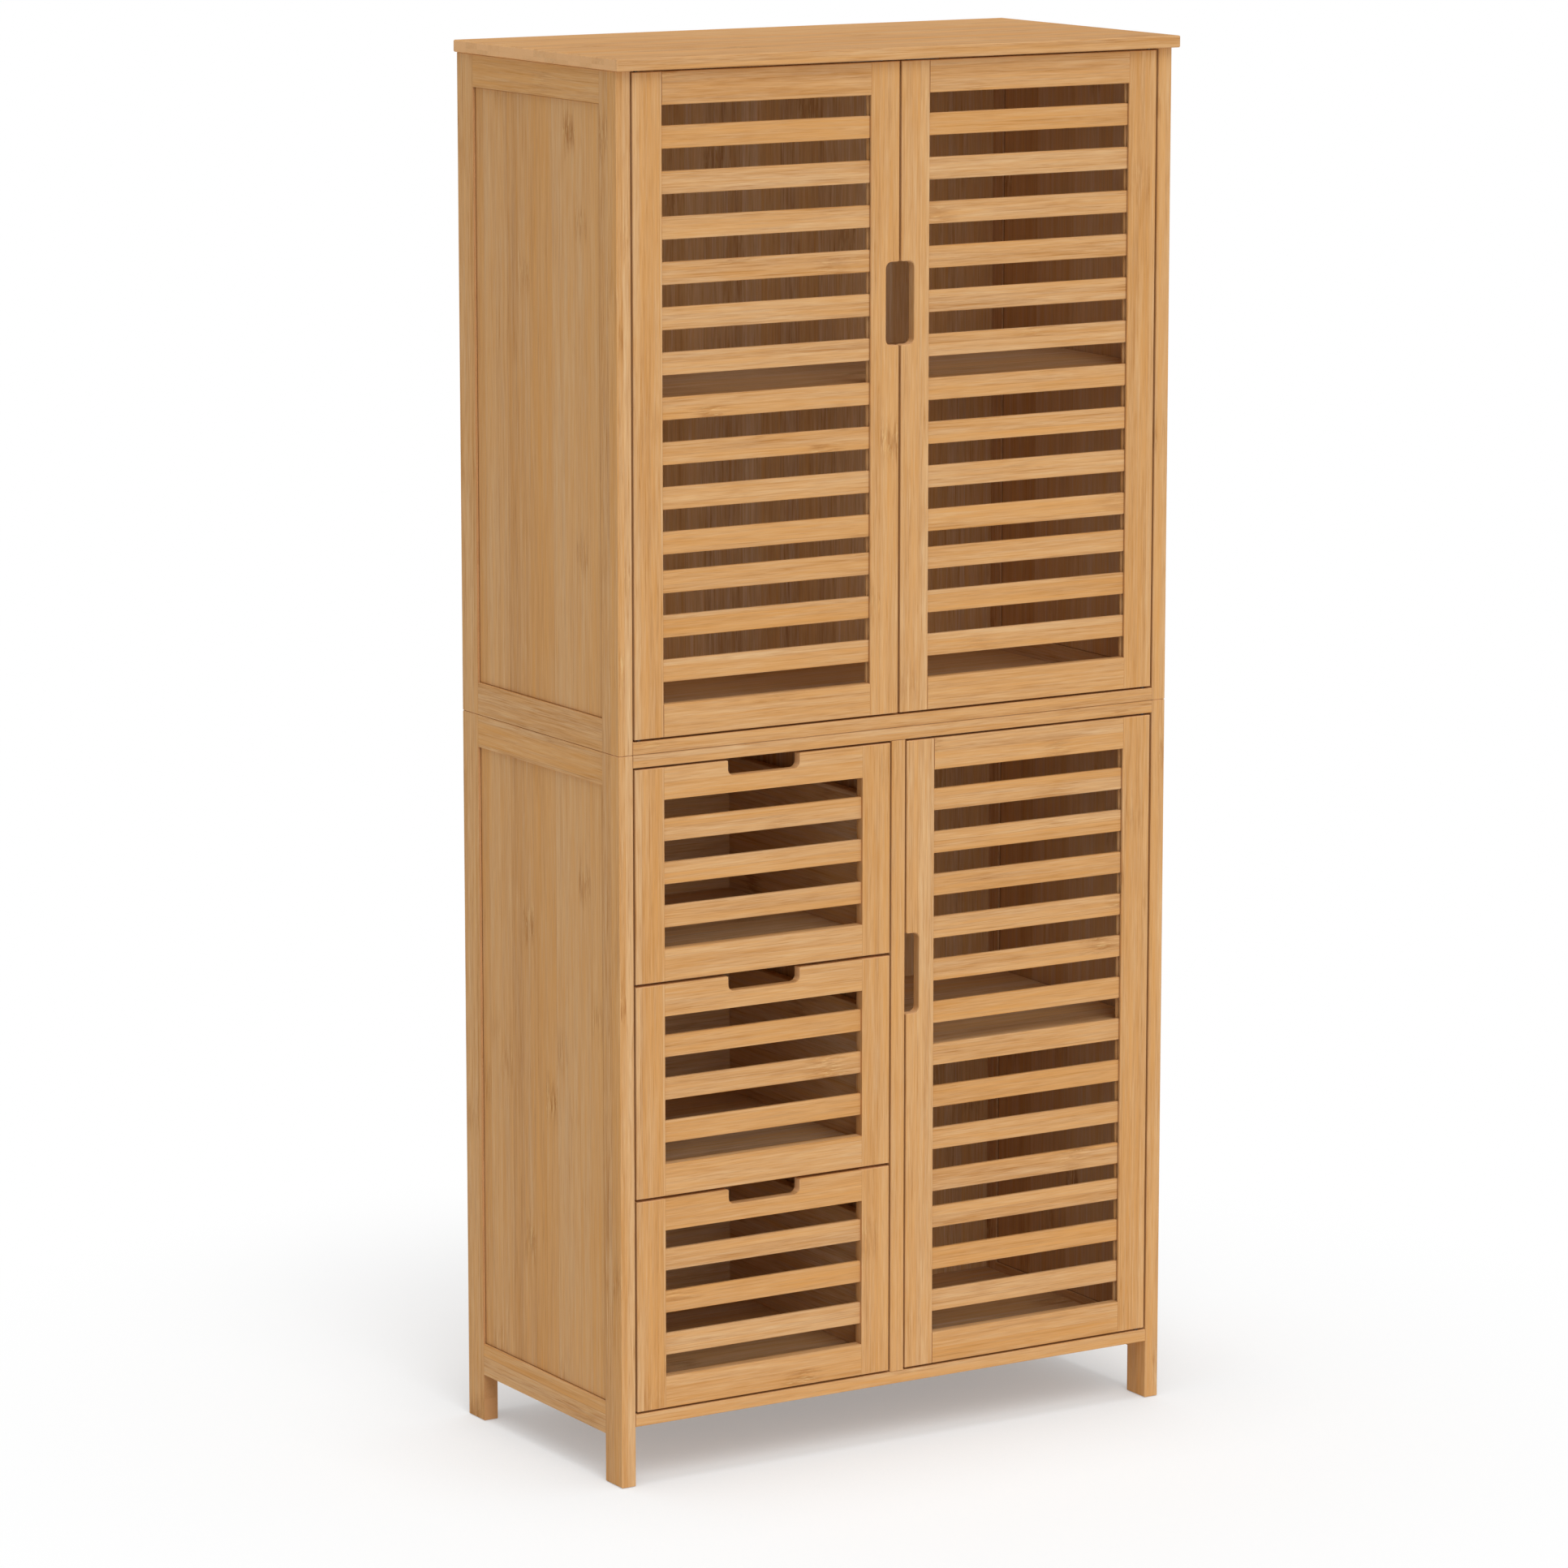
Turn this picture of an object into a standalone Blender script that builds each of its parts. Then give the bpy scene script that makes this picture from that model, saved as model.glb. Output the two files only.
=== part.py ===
# Tall bathroom cabinet in bamboo: a unit with two slatted doors on a unit with three drawers and a door.
# Metres, +Z up. The origin is on the floor under the middle of the top board, and the front faces -Y.

import math

import bmesh
import bpy
from mathutils import Matrix, Vector

# Overall size
TOTAL_WIDTH = 0.600
TOTAL_DEPTH = 0.300
TOTAL_HEIGHT = 1.300
LOWER_UNIT_HEIGHT = 0.6781

# Gap that is kept where two pieces touch
FIT = 0.0003
# How far a cutting shape runs past the surface it cuts
OVERRUN = 0.002
# Width of the small flat that takes the sharpness off a sawn edge
EDGE_EASE = 0.0006
TOP_EDGE_EASE = 0.001

# Boards
TOP_BOARD_THICKNESS = 0.011
TOP_OVERHANG_SIDE = 0.0036
TOP_OVERHANG_FRONT = 0.009
BOARD_THICKNESS = 0.0116
FLOOR_BOARD_RISE = 0.0559
BACK_PANEL_THICKNESS = 0.006
BACK_PANEL_RECESS = 0.0075
BACK_PANEL_GROOVE = 0.003
DIVIDER_THICKNESS = 0.0145

# Side frames: two legs and two rails, with a panel in their grooves
LEG_WIDTH = 0.0145
LEG_DEPTH = 0.030
SIDE_RAIL_HEIGHT = 0.030
SIDE_RAIL_RISE = 0.045
SIDE_PANEL_THICKNESS = 0.0095
SIDE_PANEL_GROOVE = 0.006

# Doors and drawer fronts
FRONT_THICKNESS = 0.010
HEAD_GAP = 0.002
SIDE_GAP = 0.0022
CENTRE_GAP = 0.0024
DIVIDER_GAP = 0.0019
DRAWER_GAP = 0.0028
STILE_WIDTH = 0.030
RAIL_HEIGHT = 0.0295
SLAT_HEIGHT = 0.0202
SLAT_THICKNESS = 0.0045
SLAT_RECESS = 0.0025
SLAT_TONGUE = 0.005
SLAT_TIE_WIDTH = 0.002
# Openings between the slats, from the top down, as shares of one regular opening
DOOR_OPENING_SHARES = [0.93, 1, 1, 1, 1, 1, 1, 1, 1, 1, 0.74, 1, 1, 1]
DRAWER_OPENING_SHARES = [0.94, 1, 1, 1]

# Finger notches
NOTCH_LENGTH = 0.076
NOTCH_DEPTH = 0.014
NOTCH_CORNER = 0.006
NOTCH_MOUTH = 0.0015
NOTCH_STEPS = 6
# Where a door's notch is centred, as a share of the door's height below its top edge
NOTCH_DROP_SHARE = 0.3675

# Pivot pins, held in the boards above and below each door
PIN_RADIUS = 0.002
PIN_ENGAGEMENT = 0.008
PIN_INSET = 0.006
PIN_SIDES = 16
# How deep a pin sits in its board, as a share of the board's thickness
PIN_SEAT_SHARE = 0.5
# Room between a shelf and the edge of the stile that turns past it
SWING_CLEARANCE = 0.0012

# Door catches, under the board above each door
CATCH_LENGTH = 0.034
CATCH_DEPTH = 0.013
CATCH_HEIGHT = 0.012
CATCH_INSET = 0.012

# Drawers
WALL_THICKNESS = 0.010
WALL_INSET = 0.00275
WALL_DROP = 0.0512
DRAWER_BACK_CLEARANCE = 0.002
DRAWER_BOTTOM_THICKNESS = 0.005
DRAWER_BOTTOM_RISE = 0.0137
DRAWER_BOTTOM_GROOVE = 0.004

# Runners of the two upper drawers: a ledge under the wall and a lip beside it
RUNNER_LEDGE_HEIGHT = 0.008
RUNNER_LIP_HEIGHT = 0.010
RUNNER_SETBACK = 0.002

# Planes that the pieces share
BODY_SIDE = TOTAL_WIDTH / 2 - TOP_OVERHANG_SIDE
LEG_INNER = BODY_SIDE - LEG_WIDTH
FRONT = -TOTAL_DEPTH / 2 + TOP_OVERHANG_FRONT
BACK = TOTAL_DEPTH / 2
FRONTS_BACK = FRONT + FRONT_THICKNESS
BACK_PANEL_FRONT = BACK - BACK_PANEL_RECESS - BACK_PANEL_THICKNESS
TOP_UNDERSIDE = TOTAL_HEIGHT - TOP_BOARD_THICKNESS
UPPER_FLOOR_UNDERSIDE = LOWER_UNIT_HEIGHT + FIT
UPPER_FLOOR_TOP = UPPER_FLOOR_UNDERSIDE + BOARD_THICKNESS
LOWER_TOP_UNDERSIDE = LOWER_UNIT_HEIGHT - BOARD_THICKNESS
LOWER_FLOOR_TOP = FLOOR_BOARD_RISE + BOARD_THICKNESS
DIVIDER_SIDE = DIVIDER_THICKNESS / 2
PIVOT_Y = FRONT + FRONT_THICKNESS / 2
SHELF_FRONT = PIVOT_Y + math.hypot(PIN_INSET, FRONTS_BACK - PIVOT_Y) + SWING_CLEARANCE

# Finishes: colour, roughness, metallic
FINISHES = {
    "bamboo_front": ((0.66, 0.37, 0.15), 0.42, 0.0),
    "bamboo_side": ((0.62, 0.35, 0.15), 0.45, 0.0),
    "bamboo_inside": ((0.50, 0.28, 0.13), 0.55, 0.0),
    "steel": ((0.60, 0.60, 0.62), 0.30, 1.0),
    "catch_plastic": ((0.80, 0.78, 0.74), 0.50, 0.0),
}


class Block:
    """A box given by its lowest and highest corner, in world coordinates."""

    def __init__(self, x, y, z):
        self.low = Vector((min(x), min(y), min(z)))
        self.high = Vector((max(x), max(y), max(z)))

    def grown(self, by):
        low = self.low - Vector((by, by, by))
        high = self.high + Vector((by, by, by))
        return Block((low.x, high.x), (low.y, high.y), (low.z, high.z))

    def middle(self):
        return (self.low + self.high) / 2


def solid_of(*blocks):
    """A bmesh that holds one closed box for each block."""
    solid = bmesh.new()
    for block in blocks:
        size = block.high - block.low
        matrix = Matrix.Translation(block.middle()) @ Matrix.Diagonal((*size, 1))
        bmesh.ops.create_cube(solid, size=1, matrix=matrix)
    return solid


def ease_edges(solid, chosen, by=EDGE_EASE):
    """Takes the sharpness off the edges that the chosen test picks by their direction."""
    edges = [edge for edge in solid.edges if chosen((edge.verts[1].co - edge.verts[0].co).normalized())]
    bmesh.ops.bevel(
        solid, geom=edges, offset=by, offset_type="OFFSET", segments=1, profile=0.5,
        affect="EDGES", clamp_overlap=True, material=-1,
    )
    return solid


def sawn(*blocks, along="xyz", by=EDGE_EASE):
    """Boxes whose edges along the named axes are eased."""
    axes = [Vector([float(axis == name) for axis in "xyz"]) for name in along]
    return ease_edges(solid_of(*blocks), lambda way: any(abs(way.dot(axis)) > 0.5 for axis in axes), by)


def prism(outline, y_front, y_back):
    """A bmesh with an outline of (x, z) points, between two planes across Y, its two rims eased."""
    solid = bmesh.new()
    rim = [solid.verts.new((x, y_front, z)) for x, z in outline]
    face = solid.faces.new(rim)
    sweep = bmesh.ops.extrude_face_region(solid, geom=[face])
    moved = [item for item in sweep["geom"] if isinstance(item, bmesh.types.BMVert)]
    bmesh.ops.translate(solid, verts=moved, vec=(0, y_back - y_front, 0))
    bmesh.ops.recalc_face_normals(solid, faces=solid.faces)
    return ease_edges(solid, lambda way: abs(way.y) < 0.5)


def rod(x, y, z_low, z_high, radius):
    """A bmesh with one upright cylinder."""
    solid = bmesh.new()
    bmesh.ops.create_cone(
        solid, cap_ends=True, segments=PIN_SIDES, radius1=radius, radius2=radius,
        depth=z_high - z_low, matrix=Matrix.Translation((x, y, (z_low + z_high) / 2)),
    )
    return solid


def combine(solid, tool, operation):
    """The Boolean of two bmeshes, which are used up."""
    pair = []
    for shape in (solid, tool):
        mesh = bpy.data.meshes.new("shape")
        shape.to_mesh(mesh)
        shape.free()
        pair.append(bpy.data.objects.new("shape", mesh))
        bpy.context.scene.collection.objects.link(pair[-1])
    kept, used = pair
    boolean = kept.modifiers.new("boolean", "BOOLEAN")
    boolean.operation = operation
    boolean.solver = "EXACT"
    boolean.object = used
    evaluated = kept.evaluated_get(bpy.context.evaluated_depsgraph_get())
    result = bmesh.new()
    result.from_mesh(evaluated.data)
    for shape in pair:
        mesh = shape.data
        bpy.data.objects.remove(shape)
        bpy.data.meshes.remove(mesh)
    return result


def cut(solid, *tools):
    for tool in tools:
        solid = combine(solid, tool, "DIFFERENCE")
    return solid


def join(solid, *tools):
    for tool in tools:
        solid = combine(solid, tool, "UNION")
    return solid


def seats(*blocks):
    """A cutting shape that leaves the usual fit round each block."""
    return solid_of(*[block.grown(FIT) for block in blocks])


def finish(name, kind):
    colour, roughness, metallic = FINISHES[kind]
    material = bpy.data.materials.new(name + "_finish")
    material.use_nodes = True
    shader = material.node_tree.nodes["Principled BSDF"]
    shader.inputs["Base Color"].default_value = (*colour, 1)
    shader.inputs["Roughness"].default_value = roughness
    shader.inputs["Metallic"].default_value = metallic
    material.diffuse_color = (*colour, 1)
    return material


def place(name, solid, kind, carrier=None):
    """Makes the named object, with its origin at its middle, on the empty that moves it if there is one."""
    corners = [vert.co for vert in solid.verts]
    low = Vector([min(corner[axis] for corner in corners) for axis in range(3)])
    high = Vector([max(corner[axis] for corner in corners) for axis in range(3)])
    middle = (low + high) / 2
    bmesh.ops.translate(solid, verts=solid.verts, vec=-middle)
    mesh = bpy.data.meshes.new(name)
    solid.to_mesh(mesh)
    solid.free()
    piece = bpy.data.objects.new(name, mesh)
    bpy.context.scene.collection.objects.link(piece)
    mesh.materials.append(finish(name, kind))
    piece.location = middle
    if carrier:
        piece.parent = carrier
        piece.location = middle - carrier.location
    return piece


def carrier_at(name, location):
    """An empty on a joint's axis, which the joint's pieces hang on."""
    empty = bpy.data.objects.new(name, None)
    empty.empty_display_size = STILE_WIDTH
    empty.location = location
    bpy.context.scene.collection.objects.link(empty)
    return empty


def notch_outline():
    """Half of a finger notch: (distance from its middle, depth from the edge), from the edge inwards."""
    half = NOTCH_LENGTH / 2
    turns = [math.pi / 2 * step / NOTCH_STEPS for step in range(NOTCH_STEPS + 1)]
    mouth = [
        (half + NOTCH_MOUTH * (1 - math.sin(turn)), NOTCH_MOUTH * (1 - math.cos(turn)))
        for turn in turns
    ]
    corner = [
        (half - NOTCH_CORNER * (1 - math.cos(turn)), NOTCH_DEPTH - NOTCH_CORNER * (1 - math.sin(turn)))
        for turn in turns
    ]
    return mouth + corner


def slats_between(z_low, z_high, shares):
    """The lowest and highest Z of each slat, from the top down, between two rails."""
    count = len(shares) - 1
    opening = (z_high - z_low - count * SLAT_HEIGHT) / sum(shares)
    spans = []
    z = z_high
    for share in shares[:-1]:
        z -= opening * share
        spans.append((z - SLAT_HEIGHT, z))
        z -= SLAT_HEIGHT
    return spans


def back_panel_block(z_low, z_high):
    reach = LEG_INNER + BACK_PANEL_GROOVE
    depth = (BACK_PANEL_FRONT, BACK_PANEL_FRONT + BACK_PANEL_THICKNESS)
    return Block((-reach, reach), depth, (z_low - BACK_PANEL_GROOVE, z_high + BACK_PANEL_GROOVE))


def shelf_block(x_left, z_low, z_high):
    """A shelf half way between two boards, from the given X to the right legs."""
    middle = (z_low + z_high) / 2
    height = (middle - BOARD_THICKNESS / 2, middle + BOARD_THICKNESS / 2)
    return Block((x_left + FIT, LEG_INNER - FIT), (SHELF_FRONT, BACK_PANEL_FRONT - FIT), height)


def door_layout():
    """Each door: hinge edge, free edge, lowest and highest Z."""
    upper = (UPPER_FLOOR_TOP + HEAD_GAP, TOP_UNDERSIDE - HEAD_GAP)
    lower = (LOWER_FLOOR_TOP + HEAD_GAP, LOWER_TOP_UNDERSIDE - HEAD_GAP)
    edge = LEG_INNER - SIDE_GAP
    return {
        "left_door": (-edge, -CENTRE_GAP / 2, *upper),
        "right_door": (edge, CENTRE_GAP / 2, *upper),
        "lower_door": (edge, DIVIDER_SIDE + DIVIDER_GAP, *lower),
    }


def pivot_x(hinge, free):
    return hinge + math.copysign(PIN_INSET, free - hinge)


def pin_holes(board, pairs, upwards):
    """Cutting shapes for the pins in one board, from their seats out past its upper or lower face."""
    seat = PIN_SEAT_SHARE * (board.high.z - board.low.z)
    if upwards:
        span = (board.high.z - seat - FIT, board.high.z + OVERRUN)
    else:
        span = (board.low.z - OVERRUN, board.low.z + seat + FIT)
    return [rod(pivot_x(hinge, free), PIVOT_Y, *span, PIN_RADIUS + FIT) for hinge, free in pairs]


def make_boards(doors):
    upper_back = back_panel_block(UPPER_FLOOR_TOP, TOP_UNDERSIDE)
    lower_back = back_panel_block(LOWER_FLOOR_TOP, LOWER_TOP_UNDERSIDE)
    span = (-LEG_INNER + FIT, LEG_INNER - FIT)
    depth = (FRONT, BACK)
    upper_doors = [doors["left_door"][:2], doors["right_door"][:2]]
    lower_doors = [doors["lower_door"][:2]]

    top = Block((-TOTAL_WIDTH / 2, TOTAL_WIDTH / 2), (-TOTAL_DEPTH / 2, BACK), (TOP_UNDERSIDE, TOTAL_HEIGHT))
    holes = pin_holes(top, upper_doors, upwards=False)
    place("top_board", cut(sawn(top, by=TOP_EDGE_EASE), seats(upper_back), *holes), "bamboo_front")

    boards = (
        ("upper_floor", UPPER_FLOOR_UNDERSIDE, upper_back, upper_doors, True),
        ("lower_top_board", LOWER_TOP_UNDERSIDE, lower_back, lower_doors, False),
        ("lower_floor", FLOOR_BOARD_RISE, lower_back, lower_doors, True),
    )
    for name, underside, panel, pairs, upwards in boards:
        board = Block(span, depth, (underside, underside + BOARD_THICKNESS))
        holes = pin_holes(board, pairs, upwards)
        place(name, cut(sawn(board, along="x"), seats(panel), *holes), "bamboo_front")

    place("upper_back_panel", solid_of(upper_back), "bamboo_inside")
    place("lower_back_panel", solid_of(lower_back), "bamboo_inside")

    upper_shelf = shelf_block(-LEG_INNER, UPPER_FLOOR_TOP, TOP_UNDERSIDE)
    lower_shelf = shelf_block(DIVIDER_SIDE, LOWER_FLOOR_TOP, LOWER_TOP_UNDERSIDE)
    place("upper_shelf", sawn(upper_shelf, along="x"), "bamboo_inside")
    place("lower_shelf", sawn(lower_shelf, along="x"), "bamboo_inside")

    height = (LOWER_FLOOR_TOP + FIT, LOWER_TOP_UNDERSIDE - FIT)
    divider = Block((-DIVIDER_SIDE, DIVIDER_SIDE), (FRONT, BACK_PANEL_FRONT - FIT), height)
    place("divider", sawn(divider, along="z"), "bamboo_front")
    return upper_back, lower_back


def make_side(name, side, z_low, z_high, window, back_panel):
    """One side: the glued frame of legs and rails, open below a raised lower rail, and its panel."""
    outer = Block((side * LEG_INNER, side * BODY_SIDE), (FRONT, BACK), (z_low, z_high))
    between_legs = (FRONT + LEG_DEPTH, BACK - LEG_DEPTH)
    through = (side * (LEG_INNER - OVERRUN), side * (BODY_SIDE + OVERRUN))
    openings = [Block(through, between_legs, window)]
    rail_low = window[0] - SIDE_RAIL_HEIGHT
    if rail_low > z_low + FIT:
        openings.append(Block(through, between_legs, (z_low - OVERRUN, rail_low)))

    middle = side * (LEG_INNER + BODY_SIDE) / 2
    thickness = (middle - SIDE_PANEL_THICKNESS / 2, middle + SIDE_PANEL_THICKNESS / 2)
    panel = Block(
        thickness,
        (between_legs[0] - SIDE_PANEL_GROOVE, between_legs[1] + SIDE_PANEL_GROOVE),
        (window[0] - SIDE_PANEL_GROOVE, window[1] + SIDE_PANEL_GROOVE),
    )
    frame = cut(sawn(outer), solid_of(*openings), seats(panel), seats(back_panel))
    place(name + "_frame", frame, "bamboo_side")
    place(name + "_panel", solid_of(panel), "bamboo_side")


def make_sides(upper_back, lower_back):
    upper = (UPPER_FLOOR_UNDERSIDE, TOP_UNDERSIDE - FIT)
    upper_window = (upper[0] + SIDE_RAIL_HEIGHT, upper[1] - SIDE_RAIL_HEIGHT)
    lower_window = (SIDE_RAIL_RISE + SIDE_RAIL_HEIGHT, LOWER_UNIT_HEIGHT - SIDE_RAIL_HEIGHT)
    for side, word in ((-1, "left"), (1, "right")):
        make_side("upper_" + word, side, *upper, upper_window, upper_back)
        make_side("lower_" + word, side, 0, LOWER_UNIT_HEIGHT, lower_window, lower_back)


def make_door(name, hinge, free, z_low, z_high, board_above, board_below):
    """A door of two stiles, two rails and a ladder of slats, on an empty on its pivot axis."""
    inward = math.copysign(1, free - hinge)
    hinge_inner = hinge + inward * STILE_WIDTH
    free_inner = free - inward * STILE_WIDTH
    axis_x = pivot_x(hinge, free)
    pivot = carrier_at(name + "_pivot", (axis_x, PIVOT_Y, (z_low + z_high) / 2))
    depth = (FRONT, FRONTS_BACK)
    slat_depth = (FRONT + SLAT_RECESS, FRONT + SLAT_RECESS + SLAT_THICKNESS)

    # The groove that holds the tongues of the rails and slats runs the whole height of both stiles
    tongues = (hinge_inner - inward * SLAT_TONGUE, free_inner + inward * SLAT_TONGUE)
    groove = seats(Block(tongues, slat_depth, (z_low - OVERRUN, z_high + OVERRUN)))
    hinge_stile = sawn(Block((hinge, hinge_inner), depth, (z_low, z_high)), along="xz")
    seat_above = board_above[0] + PIN_SEAT_SHARE * (board_above[1] - board_above[0])
    seat_below = board_below[1] - PIN_SEAT_SHARE * (board_below[1] - board_below[0])
    pin_spans = {
        "top": (z_high - PIN_ENGAGEMENT, seat_above),
        "bottom": (seat_below, z_low + PIN_ENGAGEMENT),
    }
    holes = [
        rod(axis_x, PIVOT_Y, low - FIT, high + FIT, PIN_RADIUS + FIT)
        for low, high in pin_spans.values()
    ]
    place(name + "_hinge_stile", cut(hinge_stile, groove.copy(), *holes), "bamboo_front", pivot)
    for end, span in pin_spans.items():
        place(name + "_" + end + "_pin", rod(axis_x, PIVOT_Y, *span, PIN_RADIUS), "steel")

    notch_z = z_high - NOTCH_DROP_SHARE * (z_high - z_low)
    half_notch = notch_outline()
    lower_edge = [(free - inward * inset, notch_z - away) for away, inset in half_notch]
    upper_edge = [(free - inward * inset, notch_z + away) for away, inset in reversed(half_notch)]
    outline = [
        (free_inner, z_low), (free, z_low), *lower_edge, *upper_edge, (free, z_high), (free_inner, z_high),
    ]
    place(name + "_handle_stile", cut(prism(outline, *depth), groove), "bamboo_front", pivot)

    body = (hinge_inner + inward * FIT, free_inner - inward * FIT)
    rails = {"top": (z_high - RAIL_HEIGHT, z_high), "bottom": (z_low, z_low + RAIL_HEIGHT)}
    for end, height in rails.items():
        rail = join(sawn(Block(body, depth, height), along="x"), solid_of(Block(tongues, slat_depth, height)))
        place(name + "_" + end + "_rail", rail, "bamboo_front", pivot)

    # Ties at the bottom of the grooves join the slats into one ladder
    spans = slats_between(rails["bottom"][1], rails["top"][0], DOOR_OPENING_SHARES)
    tie_height = (spans[-1][0] + SLAT_HEIGHT / 2, spans[0][1] - SLAT_HEIGHT / 2)
    tie_depth = (slat_depth[0] + EDGE_EASE, slat_depth[1] - EDGE_EASE)
    tie_ends = (EDGE_EASE, EDGE_EASE + SLAT_TIE_WIDTH)
    ties = [
        Block([tongues[0] + inward * end for end in tie_ends], tie_depth, tie_height),
        Block([tongues[1] - inward * end for end in tie_ends], tie_depth, tie_height),
    ]
    slats = sawn(*[Block(tongues, slat_depth, span) for span in spans], along="x")
    place(name + "_slats", join(slats, solid_of(*ties)), "bamboo_front", pivot)

    catch_x = free - inward * CATCH_INSET
    catch = Block(
        (catch_x, catch_x - inward * CATCH_LENGTH),
        (FRONTS_BACK + FIT, FRONTS_BACK + FIT + CATCH_DEPTH),
        (board_above[0] - FIT - CATCH_HEIGHT, board_above[0] - FIT),
    )
    place(name + "_catch", solid_of(catch), "catch_plastic")


def make_doors(doors):
    top_board = (TOP_UNDERSIDE, TOTAL_HEIGHT)
    upper_floor = (UPPER_FLOOR_UNDERSIDE, UPPER_FLOOR_TOP)
    lower_top_board = (LOWER_TOP_UNDERSIDE, LOWER_UNIT_HEIGHT)
    lower_floor = (FLOOR_BOARD_RISE, LOWER_FLOOR_TOP)
    make_door("left_door", *doors["left_door"], top_board, upper_floor)
    make_door("right_door", *doors["right_door"], top_board, upper_floor)
    make_door("lower_door", *doors["lower_door"], lower_top_board, lower_floor)


def make_runner(name, fixed, wall_outer, wall_bottom):
    """An L-shaped strip on the leg or the divider at one side of a drawer."""
    inward = math.copysign(1, wall_outer - fixed)
    back_face = fixed + inward * FIT
    ledge_end = wall_outer + inward * WALL_THICKNESS
    depth = (FRONTS_BACK + RUNNER_SETBACK, BACK_PANEL_FRONT - FIT)
    ledge_top = wall_bottom - FIT
    ledge = Block((back_face, ledge_end), depth, (ledge_top - RUNNER_LEDGE_HEIGHT, ledge_top))
    lip_face = wall_outer - inward * FIT
    lip_height = (ledge_top - RUNNER_LEDGE_HEIGHT, ledge_top + RUNNER_LIP_HEIGHT)
    lip = Block((back_face, lip_face), depth, lip_height)
    place(name, join(solid_of(ledge), solid_of(lip)), "bamboo_inside")


def make_drawer(name, x_left, x_right, z_low, z_high):
    """A slatted front with a finger notch, three walls and a bottom, on an empty that slides."""
    middle = (x_left + x_right) / 2
    slide = carrier_at(name + "_slide", (middle, FRONT, (z_low + z_high) / 2))

    half_notch = notch_outline()
    right_edge = [(middle + away, z_high - inset) for away, inset in half_notch]
    left_edge = [(middle - away, z_high - inset) for away, inset in reversed(half_notch)]
    outline = [
        (x_left, z_low), (x_right, z_low), (x_right, z_high), *right_edge, *left_edge, (x_left, z_high),
    ]
    window_x = (x_left + STILE_WIDTH, x_right - STILE_WIDTH)
    window_z = (z_low + RAIL_HEIGHT, z_high - RAIL_HEIGHT)
    window = Block(window_x, (FRONT - OVERRUN, FRONTS_BACK + OVERRUN), window_z)
    front = cut(prism(outline, FRONT, FRONTS_BACK), solid_of(window))
    slat_depth = (FRONT + SLAT_RECESS, FRONT + SLAT_RECESS + SLAT_THICKNESS)
    slat_reach = (window_x[0] - SLAT_TONGUE, window_x[1] + SLAT_TONGUE)
    for span in slats_between(*window_z, DRAWER_OPENING_SHARES):
        front = join(front, sawn(Block(slat_reach, slat_depth, span), along="x"))
    place(name + "_front", front, "bamboo_front", slide)

    wall_low = z_low - HEAD_GAP + FIT
    wall_height = (wall_low, z_high - WALL_DROP)
    outer = (x_left + WALL_INSET, x_right - WALL_INSET)
    inner = (outer[0] + WALL_THICKNESS, outer[1] - WALL_THICKNESS)
    wall_back = BACK_PANEL_FRONT - DRAWER_BACK_CLEARANCE
    back_inner = wall_back - WALL_THICKNESS
    wall_front = FRONTS_BACK + FIT
    bottom_low = wall_low + DRAWER_BOTTOM_RISE
    bottom = Block(
        (inner[0] - DRAWER_BOTTOM_GROOVE, inner[1] + DRAWER_BOTTOM_GROOVE),
        (wall_front, back_inner + DRAWER_BOTTOM_GROOVE),
        (bottom_low, bottom_low + DRAWER_BOTTOM_THICKNESS),
    )
    walls = {
        "left_wall": Block((outer[0], inner[0]), (wall_front, wall_back), wall_height),
        "right_wall": Block((inner[1], outer[1]), (wall_front, wall_back), wall_height),
        "back_wall": Block((inner[0] + FIT, inner[1] - FIT), (back_inner, wall_back), wall_height),
    }
    for word, wall in walls.items():
        place(name + "_" + word, cut(sawn(wall, along="xy"), seats(bottom)), "bamboo_inside", slide)
    place(name + "_bottom", solid_of(bottom), "bamboo_inside", slide)
    return outer, wall_low


def make_drawers():
    """Three drawers of one height, from the top down. The lowest slides on the floor board."""
    x_left = -LEG_INNER + SIDE_GAP
    x_right = -DIVIDER_SIDE - DIVIDER_GAP
    z_low = LOWER_FLOOR_TOP + HEAD_GAP
    z_high = LOWER_TOP_UNDERSIDE - HEAD_GAP
    names = ("top_drawer", "middle_drawer", "bottom_drawer")
    height = (z_high - z_low - (len(names) - 1) * DRAWER_GAP) / len(names)
    for row, name in enumerate(names):
        z_top = z_high - row * (height + DRAWER_GAP)
        outer, wall_low = make_drawer(name, x_left, x_right, z_top - height, z_top)
        if name != names[-1]:
            make_runner(name + "_left_runner", -LEG_INNER, outer[0], wall_low)
            make_runner(name + "_right_runner", -DIVIDER_SIDE, outer[1], wall_low)


def main():
    for old in list(bpy.data.objects):
        bpy.data.objects.remove(old)
    doors = door_layout()
    make_sides(*make_boards(doors))
    make_doors(doors)
    make_drawers()


main()
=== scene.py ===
# Tall bamboo bathroom cabinet, dressed: bamboo finishes, fittings, floor, studio light and camera
import math
from functools import partial

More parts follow.
